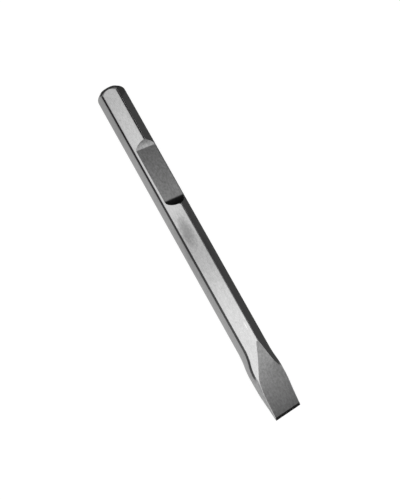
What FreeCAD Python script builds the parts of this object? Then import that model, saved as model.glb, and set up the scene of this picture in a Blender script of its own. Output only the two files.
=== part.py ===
import FreeCAD, Part
import math
import os

# Hex shank flat chisel, forged from one bar of hexagon steel. Millimetres and degrees.
# The bar is drawn with its axis on X, from the struck end at X = 0 to the cutting edge.
# There, two corners of the hexagon point to +Z and -Z, and the blade is wide along Y.
# At the end it is turned to lie on a flat, with its origin under its middle.

# Hexagon bar
ACROSS_FLATS = 30.0
OVERALL_LENGTH = 400.0
CORNER_RADIUS = 5.5

# Struck end, turned to a cone that is rounded where it meets the corners
END_FACE_DIAMETER = 20.0
END_RIM_RADIUS = 0.8
END_CONE_ANGLE = 53.0
END_SHOULDER_RADIUS = 8.0
END_TURNED_DIAMETER = 33.2
END_TURNED_LENGTH = 15.0

# Retainer notch, milled across the corner that points to +Z
NOTCH_START = 70.8
NOTCH_LENGTH = 80.3
NOTCH_DEPTH = 7.15
NOTCH_END_RADIUS = 8.8
NOTCH_EDGE_RADIUS = 0.25

# Blade in plan: its sides swing out to the shoulder and narrow again to the edge. The press
# left them uneven. The left side is the one toward -Y, and widths are from the bar's axis.
LEFT_FLARE_START = 80.0
LEFT_FLARE_LENGTH = 30.5
LEFT_SHOULDER = 18.8
LEFT_EDGE = 17.7
RIGHT_FLARE_START = 70.5
RIGHT_FLARE_LENGTH = 25.0
RIGHT_SHOULDER = 17.7
RIGHT_EDGE = 16.7

# Blade from the side: half its thickness along each side of the upper face, at stations
# measured back from the cutting edge. The press rolled this face a few degrees at its root.
# The lower face is the same, turned half a turn about the bar's axis.
BLADE_STATIONS = (100.0, 70.0, 55.0, 45.0, 29.0, 13.0, 2.9)
DEEP_SIDE = (17.6, 12.4, 9.4, 7.6, 4.8, 2.4, 1.2)
HIGH_SIDE = (21.6, 16.4, 13.2, 9.3, 5.0, 2.4, 1.2)
PRESSED_HALF_WIDTH = 19.0
BLADE_EDGE_RADIUS = 0.3

# Cutting edge, ground on both faces
EDGE_THICKNESS = 0.4

# How the chisel lies
LYING_TURN = -30.0

# Room that cutting shapes are given past the bar, and the margin for finding its edges
CLEARANCE = 10.0
MARGIN = 1.0

HALF_FLATS = ACROSS_FLATS / 2
CORNER_HEIGHT = HALF_FLATS / math.cos(math.radians(30))
FACET_SLOPE = math.tan(math.radians(30))


def point(x, y, z):
    return FreeCAD.Vector(x, y, z)


def line(start, end):
    return Part.LineSegment(start, end).toShape()


def arc(start, middle, end):
    return Part.Arc(start, middle, end).toShape()


def curve(points):
    spline = Part.BSplineCurve()
    spline.interpolate(points)
    return spline.toShape()


def outline(edges):
    return Part.Wire(Part.__sortEdges__(edges))


def rounded_outline(corners):
    # a closed outline through (point, radius) corners, with a tangent arc for each radius
    arcs = []
    ends = []
    for index, (corner, radius) in enumerate(corners):
        back = (corners[index - 1][0] - corner).normalize()
        ahead = (corners[(index + 1) % len(corners)][0] - corner).normalize()
        half_angle = back.getAngle(ahead) / 2
        reach = radius / math.tan(half_angle)
        depth = radius / math.sin(half_angle) - radius
        start = corner + back * reach
        end = corner + ahead * reach
        if radius > 0:
            arcs.append(arc(start, corner + (back + ahead).normalize() * depth, end))
        ends.append((start, end))
    lines = [line(ends[index - 1][1], start) for index, (start, end) in enumerate(ends)]
    return outline(arcs + lines)


def swept(wire, sweep, start):
    # a closed outline, moved by start and then swept to a solid
    wire.translate(start)
    return Part.Face(wire).extrude(sweep)


def four_facet_bar():
    # the four facets that meet at the +Z and -Z corners, without the two side flats
    half_width = CORNER_HEIGHT / FACET_SLOPE
    corners = [
        point(0, half_width, 0),
        point(0, 0, CORNER_HEIGHT),
        point(0, -half_width, 0),
        point(0, 0, -CORNER_HEIGHT),
    ]
    section = Part.Face(Part.makePolygon(corners + corners[:1]))
    return section.extrude(point(OVERALL_LENGTH, 0, 0))


def flare_edges(side, flare_start, flare_length, shoulder, edge):
    # one side of the bar in plan: the flat, two arcs that swing out, and the blade's side
    flare_from = OVERALL_LENGTH - flare_start
    flare_to = flare_from + flare_length
    step = (shoulder - HALF_FLATS) / 2
    radius = ((flare_length / 2) ** 2 + step ** 2) / (2 * step)
    quarter = flare_length / 4
    rise = radius - math.sqrt(radius ** 2 - quarter ** 2)
    start = point(0, side * HALF_FLATS, 0)
    swing = point(flare_from, side * HALF_FLATS, 0)
    middle = point(flare_from + 2 * quarter, side * (HALF_FLATS + step), 0)
    widest = point(flare_to, side * shoulder, 0)
    end = point(OVERALL_LENGTH, side * edge, 0)
    return [
        line(start, swing),
        arc(swing, point(flare_from + quarter, side * (HALF_FLATS + rise), 0), middle),
        arc(middle, point(flare_to - quarter, side * (shoulder - rise), 0), widest),
        line(widest, end),
    ]


def plan_block():
    # everything between the two sides of the bar and blade
    left = flare_edges(-1, LEFT_FLARE_START, LEFT_FLARE_LENGTH, LEFT_SHOULDER, LEFT_EDGE)
    right = flare_edges(1, RIGHT_FLARE_START, RIGHT_FLARE_LENGTH, RIGHT_SHOULDER, RIGHT_EDGE)
    ends = [
        line(point(0, -HALF_FLATS, 0), point(0, HALF_FLATS, 0)),
        line(point(OVERALL_LENGTH, -LEFT_EDGE, 0), point(OVERALL_LENGTH, RIGHT_EDGE, 0)),
    ]
    height = CORNER_HEIGHT + CLEARANCE
    return swept(outline(left + right + ends), point(0, 0, 2 * height), point(0, 0, -height))


def long_corners(shape):
    # the edges that run along the bar, on its facets' corners
    found = []
    for edge in shape.Edges:
        box = edge.BoundBox
        along = box.XLength > CLEARANCE
        at_a_facet = box.ZMax - box.ZMin < CORNER_HEIGHT and max(abs(box.ZMin), abs(box.ZMax)) > 1
        if along and at_a_facet:
            found.append(edge)
    return found


def rounded_bar():
    bar = four_facet_bar().common(plan_block())
    return bar.makeFillet(CORNER_RADIUS, long_corners(bar))


def turned_bar():
    # a round bar over the corners, with the struck face, its rim and the cone at X = 0
    face_radius = END_FACE_DIAMETER / 2
    turned_radius = END_TURNED_DIAMETER / 2
    outer_radius = CORNER_HEIGHT + CLEARANCE
    cone_length = (turned_radius - face_radius) / math.tan(math.radians(END_CONE_ANGLE))
    far_end = OVERALL_LENGTH + CLEARANCE
    profile = rounded_outline([
        (point(0, 0, 0), 0),
        (point(0, 0, face_radius), END_RIM_RADIUS),
        (point(cone_length, 0, turned_radius), END_SHOULDER_RADIUS),
        (point(END_TURNED_LENGTH, 0, turned_radius), 0),
        (point(END_TURNED_LENGTH, 0, outer_radius), 0),
        (point(far_end, 0, outer_radius), 0),
        (point(far_end, 0, 0), 0),
    ])
    return Part.Face(profile).revolve(point(0, 0, 0), point(1, 0, 0), 360)


def side_outline(y, upper, lower):
    # the blade from the side at one y: above and below it the given half thicknesses
    def face(half_thicknesses, sign):
        stations = zip(BLADE_STATIONS, half_thicknesses)
        return [point(OVERALL_LENGTH - back, y, sign * half) for back, half in stations]

    above = face(upper, 1)
    below = face(lower, -1)
    edge_above = point(OVERALL_LENGTH, y, EDGE_THICKNESS / 2)
    edge_below = point(OVERALL_LENGTH, y, -EDGE_THICKNESS / 2)
    back_above = point(-CLEARANCE, y, above[0].z)
    back_below = point(-CLEARANCE, y, below[0].z)
    return outline([
        line(back_above, above[0]),
        curve(above),
        line(above[-1], edge_above),
        line(edge_above, edge_below),
        line(edge_below, below[-1]),
        curve(below),
        line(below[0], back_below),
        line(back_below, back_above),
    ])


def pressed_block():
    # everything between the two pressed faces, lofted from one side of the blade to the other
    left = side_outline(-PRESSED_HALF_WIDTH, DEEP_SIDE, HIGH_SIDE)
    right = side_outline(PRESSED_HALF_WIDTH, HIGH_SIDE, DEEP_SIDE)
    return Part.makeLoft([left, right], True, True)


def notch_cutter():
    # a flat floor that curves up to the corner at each end, as a round cutter leaves it
    floor = CORNER_HEIGHT - NOTCH_DEPTH
    top = CORNER_HEIGHT + CLEARANCE
    end = NOTCH_START + NOTCH_LENGTH
    profile = rounded_outline([
        (point(NOTCH_START, 0, top), 0),
        (point(NOTCH_START, 0, floor), NOTCH_END_RADIUS),
        (point(end, 0, floor), NOTCH_END_RADIUS),
        (point(end, 0, top), 0),
    ])
    return swept(profile, point(0, 2 * top, 0), point(0, -top, 0))


def lengthwise_edges(shape, start, end):
    # the edges that run along the bar and lie wholly between two distances from its end
    found = []
    for edge in shape.Edges:
        box = edge.BoundBox
        if box.XMin > start and box.XMax < end and box.XLength > MARGIN / 2:
            found.append(edge)
    return found


def eased(shape):
    # the sharp edges taken off round the notch and along the blade, but not at the ground edge
    notch_end = NOTCH_START + NOTCH_LENGTH
    round_notch = lengthwise_edges(shape, NOTCH_START - MARGIN, notch_end + MARGIN)
    shape = shape.makeFillet(NOTCH_EDGE_RADIUS, round_notch)
    blade_end = OVERALL_LENGTH - BLADE_STATIONS[-1]
    along_blade = lengthwise_edges(shape, OVERALL_LENGTH - BLADE_STATIONS[-3], blade_end + MARGIN)
    return shape.makeFillet(BLADE_EDGE_RADIUS, along_blade)


def chisel():
    blank = rounded_bar()
    turned = blank.common(turned_bar())
    forged = turned.common(pressed_block())
    notched = forged.cut(notch_cutter())
    return eased(notched.removeSplitter().Solids[0]).Solids[0]


def laid_down(shape):
    # onto a flat, with the origin under the middle of the bar
    shape.rotate(point(0, 0, 0), point(1, 0, 0), LYING_TURN)
    shape.translate(point(-OVERALL_LENGTH / 2, 0, HALF_FLATS))
    return shape


part = laid_down(chisel())
os.makedirs("parts", exist_ok=True)
part.exportStep("parts/chisel.step")
print("chisel", part.ShapeType, len(part.Solids), part.isValid(), round(part.Volume, 1), part.BoundBox)
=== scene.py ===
import math

import bpy
from mathutils import Matrix, Vector

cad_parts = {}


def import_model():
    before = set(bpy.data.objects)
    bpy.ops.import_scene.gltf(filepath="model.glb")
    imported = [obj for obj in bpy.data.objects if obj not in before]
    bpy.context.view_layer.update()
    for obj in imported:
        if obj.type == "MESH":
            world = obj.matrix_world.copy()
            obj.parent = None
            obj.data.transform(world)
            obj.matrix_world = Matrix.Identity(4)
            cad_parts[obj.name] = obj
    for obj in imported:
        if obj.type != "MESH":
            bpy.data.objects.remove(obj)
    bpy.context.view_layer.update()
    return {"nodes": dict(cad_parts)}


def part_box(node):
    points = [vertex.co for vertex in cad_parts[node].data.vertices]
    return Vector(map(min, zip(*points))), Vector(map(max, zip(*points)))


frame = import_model()

# Lengths are in metres and angles in degrees, and levels are radiance, where 1 is white.

# The chisel, which lies along X with its notched corner leaning to +Y
AXIS_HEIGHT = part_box("chisel")[1].z / 2
END_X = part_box("chisel")[0].x
EDGE_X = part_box("chisel")[1].x
CORNER_LEAN = 30.0

# Directions: along the bar, to the notched corner, square to both of these, and up
ALONG = (1, 0, 0)
TO_CORNER = (0, math.sin(math.radians(CORNER_LEAN)), math.cos(math.radians(CORNER_LEAN)))
ACROSS = (0, TO_CORNER[2], -TO_CORNER[1])
UP = (0, 0, 1)

# Camera, nearly straight above
CAMERA_PLACE = Vector((0.07611, 0.01930, 0.82230))
CAMERA_TARGET = Vector((0.00376, 0.00208, AXIS_HEIGHT))
CAMERA_ROLL = -60.611
CAMERA_CLIP = 0.01
FOCAL_PIXELS = 751.2
FRAME_LONG_SIDE = 500
SENSOR = 36.0

# Softbox overhead, in strips from the struck end to the cutting edge
SOFTBOX_HEIGHT = 1.25
SOFTBOX_EDGES = (-1.50, -0.57, -0.50, 0.00, 0.07, 1.70)
SOFTBOX_LEVELS = (0.70, 0.90, 1.00, 1.07, 1.19)
SOFTBOX_LEFT_Y = -1.35
SOFTBOX_RIGHT_Y = (1.50, 3.45, 3.45, 3.45, 3.45)

# Grey room, dark flags round the softbox, and cards on the floor, which only reflections see
ROOM_HALF = 3.5
ROOM_HEIGHT = 1.3
FLAG_HEIGHT = 1.28
FLAG_REACH = 3.4
FLAG_X = (-1.6, 0.8)
END_FLAG_Y = (-1.6, 0.9)
CARD_LIFT = 0.0004
CARD_REACH = 0.8
UNDER_BAR_Y = 0.015
PALE_START_X = END_X - 0.02
PALE_FAR_Y = -0.075
PALE_NEAR_Y = -0.022
PALE_PAST_END_Y = -0.0135

# Their levels at the ends of a range along X, and the share left at the ends of one along Y
GLOWS = {
    "room_grey": {"levels": (0.25, 0.25)},
    "side_dark": {"levels": (0.012, 0.13), "levels_x": (-1.2, 0.3)},
    "end_flag_dark": {"levels": (0.03, 0.03)},
    "left_pale": {
        "levels": (0.58, 0.68), "levels_x": (-0.158, -0.132),
        "fade": (0.80, 1.0), "fade_y": (-0.056, -0.024),
    },
    "right_dark": {"levels": (0.085, 0.085)},
    "end_dark": {"levels": (0.05, 0.05)},
}

# Floor and background
FLOOR_HALF = 4.0
FLOOR_COLOR = 0.8
FLOOR_FAINT = 0.25
FLOOR_LIFT = 0.875
ROOM_LIGHT = 0.05

# Where the finishes are along the bar, from the notch to the ground bevel, and where painted shade
# lies on the notch's end wall and on the blade
NOTCH_X = (END_X + 0.0708, END_X + 0.1511)
NOTCH_MARGIN = 0.0005
# The notch's end wall, which painted shade makes nearly black
NOTCH_WALL_SHADE_X = (NOTCH_X[1] - 0.0108, NOTCH_X[1] - 0.0083)
PRESSED_X = EDGE_X - 0.088
# Where painted shade darkens the blade toward its cutting edge
BLADE_SHADE_X = (EDGE_X - 0.05, EDGE_X)
FORGED_SIDES_X = (EDGE_X - 0.052, EDGE_X - 0.044)
BEVEL_X = EDGE_X - 0.0029

# How far a face turns in a direction, from where its finish begins to where it is full
SQUARE_ACROSS = (0.2, 0.12)
NOTCH_TO_CORNER = (-0.4, -0.3)
NOTCH_RAMP_ALONG = (0.10, 0.14)
PRESSED_ALONG = (0.03, 0.06)
STRUCK_ALONG = (-0.95, -0.98)
FORGED_SIDES_UP = (0.97, 0.94)

# Finishes that lie over the bar's own, each over the one before it
FINISHES = ("dull", "milled", "pressed", "ground")

# Tones, as the share of the light that comes back, some of them painted shade; a pair runs from a
# face's start to its end
BAR_TONE = 0.55
DULL_TONE = 0.68
NOTCH_FLOOR_TONE = (0.195, 0.325)
NOTCH_RAMP_TONE = 0.42
# Painted shade: the notch's end wall is nearly black
NOTCH_WALL_PAINTED_SHADE = 0.02
# The blade's matt pressed tone, with painted shade that darkens it toward the cutting edge
BLADE_TONE_AND_SHADE = (0.275, 0.09)
# Painted dark reflection: the ground bevel is nearly black
BEVEL_PAINTED_DARK = 0.014

# Roughness of each finish, and how far the two that aren't bright metal count as metal
ROUGHNESS = {"bar": 0.14, "dull": 0.5, "milled": 0.42, "pressed": 0.38, "ground": 0.16}
NOTCH_RAMP_METAL = 0.4
DULL_METAL = 0.5

# Noises: stretch along the bar, scale per metre, detail, roughness and distortion
NOISES = {
    "mottle": (0.5, 90.0, 5.0, 0.6, 0.4),
    "grain": (0.25, 900.0, 4.0, 0.65, 0.0),
    "cloud": (0.45, 22.0, 2.0, 0.5, 0.3),
    "speckle": (0.7, 480.0, 3.0, 0.6, 0.0),
    "pits": (0.8, 210.0, 1.0, 0.5, 0.0),
}

# How much each noise changes the tone, on the bright bar and on the matt faces
UNEVEN = {
    "mottle": (0.15, 0.15),
    "cloud": (0.30, 0.12),
    "grain": (0.20, 0.30),
    "speckle": (0.34, 1.15),
}

# Pits in the bar's tone, and how noise changes the roughness and the surface
PIT_RANGE = (0.20, 0.28)
PIT_TONE = -0.14
ROUGHNESS_MOTTLE = 0.10
BUMP_GRAIN = 0.35
BUMP_STRENGTH = 0.08
BUMP_DISTANCE = 0.0004

# Marks on the bar, one of them a painted highlight, with the noises that make their edges ragged
MARK_RANGE = (1.15, 0.25)
MARKS = {
    "smudge past the notch": {
        "centre": (-0.020, -0.001, 0.03), "half_size": (0.023, 0.0075, 0.01),
        "tone": -0.24, "ragged": {"mottle": 0.8, "speckle": 0.7},
    },
    # darker over the middle of the bar
    "darker middle": {
        "centre": (0.006, 0.0, 0.03), "half_size": (0.054, 0.018, 0.05),
        "tone": -0.26, "ragged": {"mottle": 0.8},
    },
    # a small nick on the corner, brightened into a painted highlight
    "painted highlight near the blade": {
        "centre": (0.0982, 0.0054, 0.03), "half_size": (0.0060, 0.00045, 0.01),
        "tone": 0.35, "ragged": {},
    },
}


def node(tree, kind, inputs=(), **settings):
    # a shader node with its settings, and with its inputs set or linked by name or number
    made = tree.nodes.new("ShaderNode" + kind)
    for name, value in settings.items():
        setattr(made, name, value)
    for name, value in dict(inputs).items():
        if isinstance(value, bpy.types.NodeSocket):
            tree.links.new(value, made.inputs[name])
        else:
            made.inputs[name].default_value = value
    return made


def calc(tree, operation, *values):
    return node(tree, "Math", dict(enumerate(values)), operation=operation).outputs[0]


def vector_calc(tree, operation, *values):
    return node(tree, "VectorMath", dict(enumerate(values)), operation=operation).outputs


def product(tree, first, *others):
    for other in others:
        first = calc(tree, "MULTIPLY", first, other)
    return first


def mix(tree, factor, first, second):
    made = node(tree, "Mix", {0: factor, 2: first, 3: second}, data_type="FLOAT")
    return made.outputs[0]


def ramp(tree, value, low, high, to_low=0.0, to_high=1.0, kind="SMOOTHSTEP"):
    # to_low at low, to_high at high, and even or smooth between; low may be the larger
    made = node(
        tree, "MapRange",
        {"Value": value, "From Min": low, "From Max": high, "To Min": to_low, "To Max": to_high},
        interpolation_type=kind,
    )
    return made.outputs[0]


def empty_tree(owner):
    owner.use_nodes = True
    owner.node_tree.nodes.clear()
    return owner.node_tree


def noise(tree, place, stretch, scale, detail, rough, distortion):
    # noise around 0
    stretched = node(tree, "Mapping", {"Vector": place, "Scale": (stretch, 1, 1)}).outputs[0]
    made = node(
        tree, "TexNoise",
        {
            "Vector": stretched, "Scale": scale, "Detail": detail,
            "Roughness": rough, "Distortion": distortion,
        },
    )
    return calc(tree, "SUBTRACT", made.outputs[0], 0.5)


def mark(tree, place, noises, centre, half_size, ragged):
    # 1 in the middle of a soft oval mark and 0 outside it
    moved = vector_calc(tree, "SUBTRACT", place, centre)[0]
    scaled = vector_calc(tree, "DIVIDE", moved, half_size)[0]
    reach = vector_calc(tree, "LENGTH", scaled)["Value"]
    for name, strength in ragged.items():
        reach = calc(tree, "MULTIPLY_ADD", noises[name], strength, reach)
    return ramp(tree, reach, *MARK_RANGE)


def finish_masks(tree, x):
    # 1 where the forging, the cutter, the press or the grinder has left its own kind of face
    facing = node(tree, "NewGeometry").outputs["Normal"]
    along, across, to_corner, up = (
        vector_calc(tree, "DOT_PRODUCT", facing, direction)["Value"]
        for direction in (ALONG, ACROSS, TO_CORNER, UP)
    )
    square = ramp(tree, calc(tree, "ABSOLUTE", across), *SQUARE_ACROSS)
    milled = product(
        tree, square, ramp(tree, to_corner, *NOTCH_TO_CORNER),
        calc(tree, "GREATER_THAN", x, NOTCH_X[0] - NOTCH_MARGIN),
        calc(tree, "LESS_THAN", x, NOTCH_X[1] + NOTCH_MARGIN),
    )
    sloping = ramp(tree, along, *PRESSED_ALONG)
    tilted = ramp(tree, calc(tree, "ABSOLUTE", up), *FORGED_SIDES_UP)
    forged_side = product(tree, tilted, ramp(tree, x, *FORGED_SIDES_X))
    return {
        "dull": calc(tree, "MAXIMUM", forged_side, ramp(tree, along, *STRUCK_ALONG)),
        "milled": milled,
        "notch_ramp": product(tree, milled, ramp(tree, along, *NOTCH_RAMP_ALONG)),
        "pressed": product(tree, square, sloping, calc(tree, "GREATER_THAN", x, PRESSED_X)),
        "ground": product(tree, square, calc(tree, "GREATER_THAN", x, BEVEL_X)),
    }


def by_finish(tree, masks, values):
    # the bar's own value, and over it the value of each finish
    value = values["bar"]
    for finish in FINISHES:
        value = mix(tree, masks[finish], value, values[finish])
    return value


def bar_tone(tree, place, noises):
    tone = calc(tree, "MULTIPLY_ADD", ramp(tree, noises["pits"], *PIT_RANGE), PIT_TONE, 1.0)
    for each in MARKS.values():
        shape = mark(tree, place, noises, each["centre"], each["half_size"], each["ragged"])
        tone = calc(tree, "MULTIPLY_ADD", shape, each["tone"], tone)
    return calc(tree, "MULTIPLY", tone, BAR_TONE)


def notch_tone_and_shade(tree, x, on_ramp):
    # the notch floor's tone, the ramp's, and painted shade that makes the end wall nearly black
    floor_tone = ramp(tree, x, *NOTCH_X, *NOTCH_FLOOR_TONE, kind="LINEAR")
    tone = mix(tree, on_ramp, floor_tone, NOTCH_RAMP_TONE)
    return mix(tree, ramp(tree, x, *NOTCH_WALL_SHADE_X), tone, NOTCH_WALL_PAINTED_SHADE)


def unevenness(tree, masks, noises):
    # around 1, with its own mixture of noises on the matt faces
    matt = calc(tree, "MAXIMUM", masks["milled"], masks["pressed"])
    uneven = 1.0
    for name, strengths in UNEVEN.items():
        uneven = calc(tree, "MULTIPLY_ADD", noises[name], mix(tree, matt, *strengths), uneven)
    return uneven


def steel():
    material = bpy.data.materials.new("steel_satin")
    tree = empty_tree(material)
    place = node(tree, "TexCoord").outputs["Object"]
    x = node(tree, "SeparateXYZ", {0: place}).outputs["X"]
    masks = finish_masks(tree, x)
    noises = {name: noise(tree, place, *settings) for name, settings in NOISES.items()}
    tones = {
        "bar": bar_tone(tree, place, noises),
        "dull": DULL_TONE,
        # the notch, with painted shade on its end wall
        "milled": notch_tone_and_shade(tree, x, masks["notch_ramp"]),
        # the blade, darkened toward its edge by painted shade
        "pressed": ramp(tree, x, *BLADE_SHADE_X, *BLADE_TONE_AND_SHADE, kind="LINEAR"),
        # the bevel, nearly black as a painted dark reflection
        "ground": BEVEL_PAINTED_DARK,
    }
    value = product(tree, by_finish(tree, masks, tones), unevenness(tree, masks, noises))
    color = node(tree, "CombineColor", {0: value, 1: value, 2: value}).outputs[0]
    ramp_metal = mix(tree, masks["notch_ramp"], 1.0, NOTCH_RAMP_METAL)
    dull_metal = mix(tree, masks["dull"], 1.0, DULL_METAL)
    metal = calc(tree, "MINIMUM", ramp_metal, dull_metal)
    rough = by_finish(tree, masks, ROUGHNESS)
    rough = calc(tree, "MULTIPLY_ADD", noises["mottle"], ROUGHNESS_MOTTLE, rough)
    height = calc(tree, "MULTIPLY_ADD", noises["grain"], BUMP_GRAIN, noises["mottle"])
    bump = node(tree, "Bump", {"Strength": BUMP_STRENGTH, "Distance": BUMP_DISTANCE, "Height": height})
    surface = node(
        tree, "BsdfPrincipled",
        {"Base Color": color, "Metallic": metal, "Roughness": rough, "Normal": bump.outputs[0]},
    )
    node(tree, "OutputMaterial", {"Surface": surface.outputs[0]})
    return material


def mesh_object(name, points, faces, material):
    mesh = bpy.data.meshes.new(name)
    mesh.from_pydata(points, [], faces)
    mesh.materials.append(material)
    made = bpy.data.objects.new(name, mesh)
    bpy.context.scene.collection.objects.link(made)
    return made


def rectangle(x_range, y_range):
    (left, right), (near, far) = x_range, y_range
    return [(left, near), (right, near), (right, far), (left, far)]


def plane(name, x_range, y_range, height, material):
    points = [(x, y, height) for x, y in rectangle(x_range, y_range)]
    return mesh_object(name, points, [(0, 1, 2, 3)], material)


def seen_directly(tree):
    # 1 for what the camera sees, straight or in metal and glass
    rays = node(tree, "LightPath").outputs
    seen = calc(tree, "MAXIMUM", rays["Is Camera Ray"], rays["Is Glossy Ray"])
    return calc(tree, "MAXIMUM", seen, rays["Is Transmission Ray"])


def floor_material():
    # pale and lit as written; what is seen directly is lifted to white, with the shadow kept
    material = bpy.data.materials.new("floor_white")
    tree = empty_tree(material)
    paper = node(tree, "BsdfDiffuse", {"Color": (FLOOR_COLOR,) * 3 + (1,)}).outputs[0]
    faint = node(tree, "BsdfDiffuse", {"Color": (FLOOR_FAINT,) * 3 + (1,)}).outputs[0]
    lift = node(tree, "Emission", {"Color": (1, 1, 1, 1), "Strength": FLOOR_LIFT}).outputs[0]
    white = node(tree, "AddShader", {0: faint, 1: lift}).outputs[0]
    seen = node(tree, "MixShader", {0: seen_directly(tree), 1: paper, 2: white}).outputs[0]
    node(tree, "OutputMaterial", {"Surface": seen})
    return material


def glow(name, levels, levels_x=(0, 1), fade=(1, 1), fade_y=(0, 1)):
    # a material that only gives light, at the levels that GLOWS describes
    material = bpy.data.materials.new(name)
    tree = empty_tree(material)
    place = node(tree, "NewGeometry").outputs["Position"]
    xyz = node(tree, "SeparateXYZ", {0: place}).outputs
    level = ramp(tree, xyz["X"], *levels_x, *levels, kind="LINEAR")
    level = product(tree, level, ramp(tree, xyz["Y"], *fade_y, *fade, kind="LINEAR"))
    light = node(tree, "Emission", {"Color": (1, 1, 1, 1), "Strength": level}).outputs[0]
    node(tree, "OutputMaterial", {"Surface": light})
    return material


def only_in_reflections(made):
    # hidden from the camera and from soft light, and without a shadow
    made.visible_camera = False
    made.visible_diffuse = False
    made.visible_shadow = False


def flag(name, near, far, material):
    # a panel overhead from its near edge to its far one, and from there down to the floor
    points = [(x, y, FLAG_HEIGHT) for x, y in near + far] + [(x, y, 0) for x, y in far]
    only_in_reflections(mesh_object(name, points, [(0, 1, 3, 2), (2, 3, 5, 4)], material))


def room(material):
    # four walls and a ceiling just above the flags
    side = (-ROOM_HALF, ROOM_HALF)
    points = [(x, y, z) for z in (0, ROOM_HEIGHT) for x, y in rectangle(side, side)]
    faces = [(0, 1, 5, 4), (1, 2, 6, 5), (2, 3, 7, 6), (3, 0, 4, 7), (4, 5, 6, 7)]
    only_in_reflections(mesh_object("room", points, faces, material))


def cards(glows):
    # pale on the left of the chisel and dark elsewhere, with none under the bar
    start, stop = FLAG_X
    for name, x_range, y_range, material in (
        ("near_left_card", (PALE_START_X, stop), (PALE_FAR_Y, PALE_NEAR_Y), "left_pale"),
        ("beside_card", (END_X, EDGE_X), (PALE_NEAR_Y, -UNDER_BAR_Y), "left_pale"),
        ("past_end_card", (PALE_START_X, END_X), (PALE_NEAR_Y, PALE_PAST_END_Y), "left_pale"),
        ("far_left_card", (start, stop), (-FLAG_REACH, PALE_FAR_Y), "side_dark"),
        ("right_card", (END_X, stop), (UNDER_BAR_Y, CARD_REACH), "right_dark"),
        ("end_card", (start, END_X), (PALE_PAST_END_Y, CARD_REACH), "end_dark"),
        ("past_pale_card", (start, PALE_START_X), (PALE_FAR_Y, PALE_PAST_END_Y), "end_dark"),
    ):
        only_in_reflections(plane(name, x_range, y_range, CARD_LIFT, glows[material]))


def flags(glows):
    # beside the softbox, at the right of its first strip, past the struck end, and on its back
    first_strip = SOFTBOX_EDGES[:2]
    side_near = [(x, SOFTBOX_LEFT_Y) for x in FLAG_X]
    side_far = [(x, -FLAG_REACH) for x in FLAG_X]
    right_near = [(x, SOFTBOX_RIGHT_Y[0]) for x in first_strip]
    right_far = [(x, FLAG_REACH) for x in first_strip]
    end_near = [(SOFTBOX_EDGES[0], y) for y in END_FLAG_Y]
    end_far = [(-FLAG_REACH, y) for y in END_FLAG_Y]
    flag("side_flag", side_near, side_far, glows["side_dark"])
    flag("right_flag", right_near, right_far, glows["end_flag_dark"])
    flag("end_flag", end_near, end_far, glows["end_flag_dark"])
    back_x = (SOFTBOX_EDGES[0], SOFTBOX_EDGES[-1])
    back_y = (SOFTBOX_LEFT_Y, SOFTBOX_RIGHT_Y[-1])
    only_in_reflections(plane("softbox_back", back_x, back_y, FLAG_HEIGHT, glows["side_dark"]))


def softbox(name, x_range, y_range, level):
    # a lamp's power is the level times pi times its area
    light = bpy.data.lights.new(name, "AREA")
    light.shape = "RECTANGLE"
    light.size = x_range[1] - x_range[0]
    light.size_y = y_range[1] - y_range[0]
    light.energy = level * math.pi * light.size * light.size_y
    made = bpy.data.objects.new(name, light)
    made.location = (sum(x_range) / 2, sum(y_range) / 2, SOFTBOX_HEIGHT)
    bpy.context.scene.collection.objects.link(made)


def softboxes():
    for number, level in enumerate(SOFTBOX_LEVELS):
        x_range = SOFTBOX_EDGES[number:number + 2]
        softbox(f"softbox_{number}", x_range, (SOFTBOX_LEFT_Y, SOFTBOX_RIGHT_Y[number]), level)


def world():
    # white behind the object, and dim as a light
    made = bpy.data.worlds.new("studio")
    bpy.context.scene.world = made
    tree = empty_tree(made)
    strength = mix(tree, seen_directly(tree), ROOM_LIGHT, 1.0)
    light = node(tree, "Background", {"Color": (1, 1, 1, 1), "Strength": strength}).outputs[0]
    node(tree, "OutputWorld", {"Surface": light})


def camera():
    view = (CAMERA_TARGET - CAMERA_PLACE).normalized()
    level = Vector((0, 1, 0))
    up = (level - view * level.dot(view)).normalized()
    side = view.cross(up)
    roll = math.radians(CAMERA_ROLL)
    turned_up = up * math.cos(roll) + side * math.sin(roll)
    turned_side = view.cross(turned_up)
    lens = bpy.data.cameras.new("camera")
    lens.sensor_fit = "AUTO"
    lens.sensor_width = SENSOR
    lens.lens = FOCAL_PIXELS / FRAME_LONG_SIDE * SENSOR
    lens.clip_start = CAMERA_CLIP
    made = bpy.data.objects.new("camera", lens)
    rotation = Matrix((turned_side, turned_up, -view)).transposed().to_4x4()
    made.matrix_world = Matrix.Translation(CAMERA_PLACE) @ rotation
    bpy.context.scene.collection.objects.link(made)
    bpy.context.scene.camera = made


chisel = frame["nodes"]["chisel"]
chisel.material_slots[0].material = steel()

floor_side = (-FLOOR_HALF, FLOOR_HALF)
plane("floor", floor_side, floor_side, 0.0, floor_material())
glows = {name: glow(name, **settings) for name, settings in GLOWS.items()}
cards(glows)
flags(glows)
room(glows["room_grey"])
softboxes()
world()
camera()
bpy.context.scene.view_settings.view_transform = "Standard"
